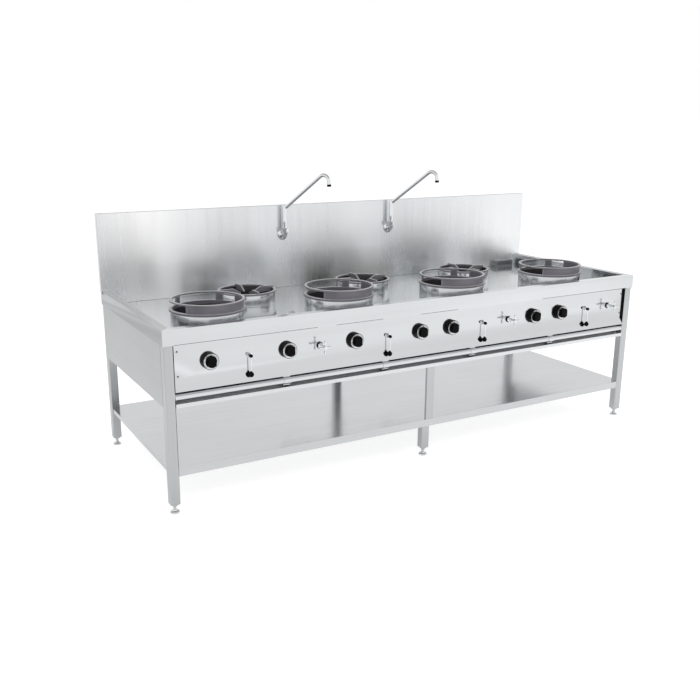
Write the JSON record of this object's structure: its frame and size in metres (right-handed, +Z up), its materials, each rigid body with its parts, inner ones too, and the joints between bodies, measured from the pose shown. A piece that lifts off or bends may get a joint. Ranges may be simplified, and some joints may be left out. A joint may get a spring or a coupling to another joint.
{
  "type": "wok range",
  "caption": "Free-standing stainless wok range with wok and pot burners, splashback, swivel spouts, front controls and an open frame with an under-shelf.",
  "frame": {"origin": "centre of the bounding box at floor level", "axes": "+X along the range to the right as a cook faces it, +Y from the cook towards the splashback, +Z up"},
  "size_m": [2.816, 1.0476, 1.4353],
  "materials": {
    "stainless": "brushed",
    "chrome": "polished",
    "cast_iron": "as cast",
    "black_plastic": "satin"
  },
  "bodies": {
    "range": {"leg_front_left": "stainless", "leg_front_middle": "stainless", "leg_front_right": "stainless", "leg_rear_left": "stainless", "leg_rear_middle": "stainless", "leg_rear_right": "stainless", "front_middle_post": "stainless", "frame_rails": "stainless", "under_shelf": "stainless", "worktop": "stainless", "control_panel": "stainless", "side_panel_left": "stainless", "side_panel_right": "stainless", "rear_panel": "stainless", "lower_front_angle": "stainless", "backsplash": "stainless", "front_rail": "stainless", "wok_burner_1": "cast_iron", "wok_burner_2": "cast_iron", "wok_burner_3": "cast_iron", "wok_burner_4": "cast_iron", "pot_burner_1": "cast_iron", "pot_burner_2": "cast_iron", "pot_burner_3": "cast_iron", "gas_manifold": "chrome", "water_manifold": "chrome", "faucet_body_left": "chrome", "faucet_body_right": "chrome", "flush_nozzle": "chrome"},
    "foot_front_left": {"foot_front_left": "chrome"},
    "foot_front_middle": {"foot_front_middle": "chrome"},
    "foot_front_right": {"foot_front_right": "chrome"},
    "foot_rear_left": {"foot_rear_left": "chrome"},
    "foot_rear_middle": {"foot_rear_middle": "chrome"},
    "foot_rear_right": {"foot_rear_right": "chrome"},
    "wok_ring_1": {"wok_ring_1": "cast_iron"},
    "wok_ring_2": {"wok_ring_2": "cast_iron"},
    "wok_ring_3": {"wok_ring_3": "cast_iron"},
    "wok_ring_4": {"wok_ring_4": "cast_iron"},
    "pot_grid_1": {"pot_grid_1": "cast_iron"},
    "pot_grid_2": {"pot_grid_2": "cast_iron"},
    "pot_grid_3": {"pot_grid_3": "cast_iron"},
    "drain_strainer": {"drain_strainer": "stainless"},
    "knob_1": {"knob_1": "black_plastic"},
    "knob_2": {"knob_2": "black_plastic"},
    "knob_3": {"knob_3": "black_plastic"},
    "knob_4": {"knob_4": "black_plastic"},
    "knob_5": {"knob_5": "black_plastic"},
    "knob_6": {"knob_6": "black_plastic"},
    "knob_7": {"knob_7": "black_plastic"},
    "lever_1": {"lever_1": "chrome"},
    "lever_2": {"lever_2": "chrome"},
    "lever_3": {"lever_3": "chrome"},
    "lever_4": {"lever_4": "chrome"},
    "cross_handle_1": {"cross_handle_1": "chrome"},
    "cross_handle_2": {"cross_handle_2": "chrome"},
    "cross_handle_3": {"cross_handle_3": "chrome"},
    "spout_left": {"spout_left": "chrome"},
    "spout_right": {"spout_right": "chrome"}
  },
  "joints": [
    {"name": "foot_front_left_height", "type": "slide", "parent": "range", "child": "foot_front_left", "axis": [0, 0, 1], "range_m": [-0.03, 0.01]},
    {"name": "foot_front_middle_height", "type": "slide", "parent": "range", "child": "foot_front_middle", "axis": [0, 0, 1], "range_m": [-0.03, 0.01]},
    {"name": "foot_front_right_height", "type": "slide", "parent": "range", "child": "foot_front_right", "axis": [0, 0, 1], "range_m": [-0.03, 0.01]},
    {"name": "foot_rear_left_height", "type": "slide", "parent": "range", "child": "foot_rear_left", "axis": [0, 0, 1], "range_m": [-0.03, 0.01]},
    {"name": "foot_rear_middle_height", "type": "slide", "parent": "range", "child": "foot_rear_middle", "axis": [0, 0, 1], "range_m": [-0.03, 0.01]},
    {"name": "foot_rear_right_height", "type": "slide", "parent": "range", "child": "foot_rear_right", "axis": [0, 0, 1], "range_m": [-0.03, 0.01]},
    {"name": "wok_ring_1_lift", "type": "slide", "parent": "range", "child": "wok_ring_1", "axis": [0, 0, 1], "range_m": [0, 0.12]},
    {"name": "wok_ring_2_lift", "type": "slide", "parent": "range", "child": "wok_ring_2", "axis": [0, 0, 1], "range_m": [0, 0.12]},
    {"name": "wok_ring_3_lift", "type": "slide", "parent": "range", "child": "wok_ring_3", "axis": [0, 0, 1], "range_m": [0, 0.12]},
    {"name": "wok_ring_4_lift", "type": "slide", "parent": "range", "child": "wok_ring_4", "axis": [0, 0, 1], "range_m": [0, 0.12]},
    {"name": "pot_grid_1_lift", "type": "slide", "parent": "range", "child": "pot_grid_1", "axis": [0, 0, 1], "range_m": [0, 0.12]},
    {"name": "pot_grid_2_lift", "type": "slide", "parent": "range", "child": "pot_grid_2", "axis": [0, 0, 1], "range_m": [0, 0.12]},
    {"name": "pot_grid_3_lift", "type": "slide", "parent": "range", "child": "pot_grid_3", "axis": [0, 0, 1], "range_m": [0, 0.12]},
    {"name": "drain_strainer_lift", "type": "slide", "parent": "range", "child": "drain_strainer", "axis": [0, 0, 1], "range_m": [0, 0.08]},
    {"name": "knob_1_turn", "type": "hinge", "parent": "range", "child": "knob_1", "pos_m": [-1.19006, -0.47625, 0.688], "axis": [0, -1, 0], "range_deg": [0, 210]},
    {"name": "knob_2_turn", "type": "hinge", "parent": "range", "child": "knob_2", "pos_m": [-0.807, -0.47625, 0.688], "axis": [0, -1, 0], "range_deg": [0, 210]},
    {"name": "knob_3_turn", "type": "hinge", "parent": "range", "child": "knob_3", "pos_m": [-0.44815, -0.47625, 0.688], "axis": [0, -1, 0], "range_deg": [0, 210]},
    {"name": "knob_4_turn", "type": "hinge", "parent": "range", "child": "knob_4", "pos_m": [-0.06723, -0.47625, 0.688], "axis": [0, -1, 0], "range_deg": [0, 210]},
    {"name": "knob_5_turn", "type": "hinge", "parent": "range", "child": "knob_5", "pos_m": [0.1243, -0.47625, 0.688], "axis": [0, -1, 0], "range_deg": [0, 210]},
    {"name": "knob_6_turn", "type": "hinge", "parent": "range", "child": "knob_6", "pos_m": [0.67467, -0.47625, 0.688], "axis": [0, -1, 0], "range_deg": [0, 210]},
    {"name": "knob_7_turn", "type": "hinge", "parent": "range", "child": "knob_7", "pos_m": [0.8662, -0.47625, 0.688], "axis": [0, -1, 0], "range_deg": [0, 210]},
    {"name": "lever_1_turn", "type": "hinge", "parent": "range", "child": "lever_1", "pos_m": [-0.99995, -0.48125, 0.688], "axis": [0, -1, 0], "range_deg": [0, 90]},
    {"name": "lever_2_turn", "type": "hinge", "parent": "range", "child": "lever_2", "pos_m": [-0.26018, -0.48125, 0.688], "axis": [0, -1, 0], "range_deg": [0, 90]},
    {"name": "lever_3_turn", "type": "hinge", "parent": "range", "child": "lever_3", "pos_m": [0.33006, -0.48125, 0.688], "axis": [0, -1, 0], "range_deg": [0, 90]},
    {"name": "lever_4_turn", "type": "hinge", "parent": "range", "child": "lever_4", "pos_m": [1.05986, -0.48125, 0.688], "axis": [0, -1, 0], "range_deg": [0, 90]},
    {"name": "cross_handle_1_turn", "type": "hinge", "parent": "range", "child": "cross_handle_1", "pos_m": [-0.63968, -0.51325, 0.688], "axis": [0, -1, 0], "range_deg": [0, 630]},
    {"name": "cross_handle_2_turn", "type": "hinge", "parent": "range", "child": "cross_handle_2", "pos_m": [0.50094, -0.51325, 0.688], "axis": [0, -1, 0], "range_deg": [0, 630]},
    {"name": "cross_handle_3_turn", "type": "hinge", "parent": "range", "child": "cross_handle_3", "pos_m": [1.2343, -0.51325, 0.688], "axis": [0, -1, 0], "range_deg": [0, 630]},
    {"name": "spout_left_swing", "type": "hinge", "parent": "range", "child": "spout_left", "pos_m": [-0.362, 0.46175, 1.112], "axis": [0, 0, 1], "range_deg": [-112, 58]},
    {"name": "spout_right_swing", "type": "hinge", "parent": "range", "child": "spout_right", "pos_m": [0.35, 0.46175, 1.112], "axis": [0, 0, 1], "range_deg": [-112, 58]}
  ]
}
